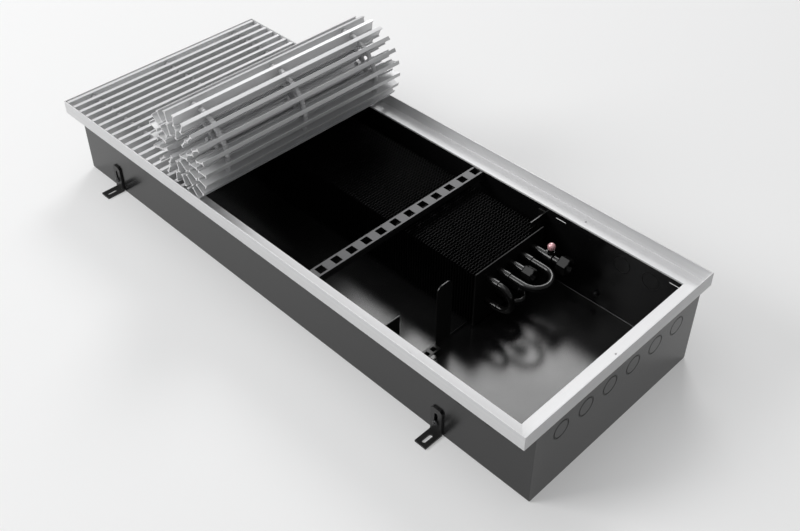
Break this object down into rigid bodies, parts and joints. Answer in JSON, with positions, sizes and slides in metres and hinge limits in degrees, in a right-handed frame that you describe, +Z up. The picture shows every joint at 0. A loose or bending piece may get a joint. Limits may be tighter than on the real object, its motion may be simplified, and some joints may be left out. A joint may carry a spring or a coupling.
{
  "type": "trench convector heater",
  "caption": "Floor trench convector heater: black steel trough with a finned water exchanger, aluminium frame, punched cross beam, levelling feet and a roll-up slat grille shown part rolled.",
  "frame": {"origin": "on the floor plane under the trough, at the middle of the trough's length and width", "axes": "+X along the trench towards the end with the pipe connections, +Y across it towards the side of the exchanger, +Z up"},
  "size_m": [1, 0.416, 0.2778],
  "materials": {
    "trough_steel": "semi-matt black powder coat",
    "anodised": "natural satin anodised",
    "slats": "natural satin anodised",
    "beam_steel": "grey zinc-coated steel",
    "fins": "matt black coated aluminium",
    "pipes": "satin black coated copper and brass",
    "vent_red": "glossy red",
    "foot_steel": "black coated steel",
    "screws": "dark zinc"
  },
  "bodies": {
    "trench": {"trough": "trough_steel", "end_wall_near": "trough_steel", "end_wall_far": "trough_steel", "frame_sides": "anodised", "frame_ends": "anodised", "cross_beam": "beam_steel", "brackets": "trough_steel", "fin_pack": "fins", "end_plates": "fins", "core_tubes": "pipes", "loop_bend": "pipes", "near_bends": "pipes", "far_bends": "pipes", "return_tail": "pipes", "supply_tee": "pipes", "vent_valve": "pipes", "foot_screws": "screws"},
    "laid_grille": {"laid_grille": "slats"},
    "return_nut": {"return_nut": "pipes"},
    "supply_nut": {"supply_nut": "pipes"},
    "vent_cap": {"vent_cap": "vent_red"},
    "foot_near_left": {"foot_near_left": "foot_steel"},
    "foot_near_right": {"foot_near_right": "foot_steel"},
    "foot_far_left": {"foot_far_left": "foot_steel"},
    "foot_far_right": {"foot_far_right": "foot_steel"},
    "slat_1": {"slat_1": "slats"},
    "slat_2": {"slat_2": "slats"},
    "slat_3": {"slat_3": "slats"},
    "slat_4": {"slat_4": "slats"},
    "slat_5": {"slat_5": "slats"},
    "slat_6": {"slat_6": "slats"},
    "slat_7": {"slat_7": "slats"},
    "slat_8": {"slat_8": "slats"},
    "slat_9": {"slat_9": "slats"},
    "roll": {"slat_10": "slats", "slat_11": "slats", "slat_12": "slats", "slat_13": "slats", "slat_14": "slats", "slat_15": "slats", "slat_16": "slats", "slat_17": "slats", "slat_18": "slats", "slat_19": "slats", "slat_20": "slats", "slat_21": "slats", "slat_22": "slats", "slat_23": "slats", "slat_24": "slats", "slat_25": "slats", "slat_26": "slats", "slat_27": "slats", "slat_28": "slats", "slat_29": "slats", "slat_30": "slats", "slat_31": "slats", "slat_32": "slats", "slat_33": "slats", "slat_34": "slats", "slat_35": "slats"}
  },
  "joints": [
    {"name": "grille_lift", "type": "slide", "parent": "trench", "child": "laid_grille", "axis": [0, 0, 1], "range_m": [0, 0.25]},
    {"name": "slat_1_hinge", "type": "hinge", "parent": "laid_grille", "child": "slat_1", "pos_m": [-0.1805, 0, 0.1393], "axis": [0, -1, 0], "range_deg": [-6.54, 0]},
    {"name": "slat_2_hinge", "type": "hinge", "parent": "slat_1", "child": "slat_2", "pos_m": [-0.16162, 0, 0.14146], "axis": [0, -1, 0], "range_deg": [-15.75, 0]},
    {"name": "slat_3_hinge", "type": "hinge", "parent": "slat_2", "child": "slat_3", "pos_m": [-0.14404, 0, 0.14867], "axis": [0, -1, 0], "range_deg": [-15.97, 0]},
    {"name": "slat_4_hinge", "type": "hinge", "parent": "slat_3", "child": "slat_4", "pos_m": [-0.12912, 0, 0.16044], "axis": [0, -1, 0], "range_deg": [-16.19, 0]},
    {"name": "slat_5_hinge", "type": "hinge", "parent": "slat_4", "child": "slat_5", "pos_m": [-0.11808, 0, 0.1759], "axis": [0, -1, 0], "range_deg": [-16.43, 0]},
    {"name": "slat_6_hinge", "type": "hinge", "parent": "slat_5", "child": "slat_6", "pos_m": [-0.11185, 0, 0.19385], "axis": [0, -1, 0], "range_deg": [-16.67, 0]},
    {"name": "slat_7_hinge", "type": "hinge", "parent": "slat_6", "child": "slat_7", "pos_m": [-0.11104, 0, 0.21283], "axis": [0, -1, 0], "range_deg": [-16.93, 0]},
    {"name": "slat_8_hinge", "type": "hinge", "parent": "slat_7", "child": "slat_8", "pos_m": [-0.1158, 0, 0.23123], "axis": [0, -1, 0], "range_deg": [-17.2, 0]},
    {"name": "slat_9_hinge", "type": "hinge", "parent": "slat_8", "child": "slat_9", "pos_m": [-0.12578, 0, 0.24739], "axis": [0, -1, 0], "range_deg": [-17.49, 0]},
    {"name": "slat_10_hinge", "type": "hinge", "parent": "slat_9", "child": "roll", "pos_m": [-0.14015, 0, 0.25981], "axis": [0, -1, 0], "range_deg": [-17.78, 0]},
    {"name": "return_nut_turn", "type": "hinge", "parent": "trench", "child": "return_nut", "pos_m": [0.28025, 0.08, 0.084], "axis": [1, 0, 0], "continuous": true},
    {"name": "supply_nut_turn", "type": "hinge", "parent": "trench", "child": "supply_nut", "pos_m": [0.3065, 0.13, 0.084], "axis": [1, 0, 0], "continuous": true},
    {"name": "vent_cap_turn", "type": "hinge", "parent": "trench", "child": "vent_cap", "pos_m": [0.2795, 0.13, 0.104], "axis": [0, 0, 1], "range_deg": [0, 180]},
    {"name": "foot_near_left_height", "type": "slide", "parent": "trench", "child": "foot_near_left", "axis": [0, 0, 1], "range_m": [-0.015, 0.001]},
    {"name": "foot_near_right_height", "type": "slide", "parent": "trench", "child": "foot_near_right", "axis": [0, 0, 1], "range_m": [-0.015, 0.001]},
    {"name": "foot_far_left_height", "type": "slide", "parent": "trench", "child": "foot_far_left", "axis": [0, 0, 1], "range_m": [-0.015, 0.001]},
    {"name": "foot_far_right_height", "type": "slide", "parent": "trench", "child": "foot_far_right", "axis": [0, 0, 1], "range_m": [-0.015, 0.001]}
  ]
}
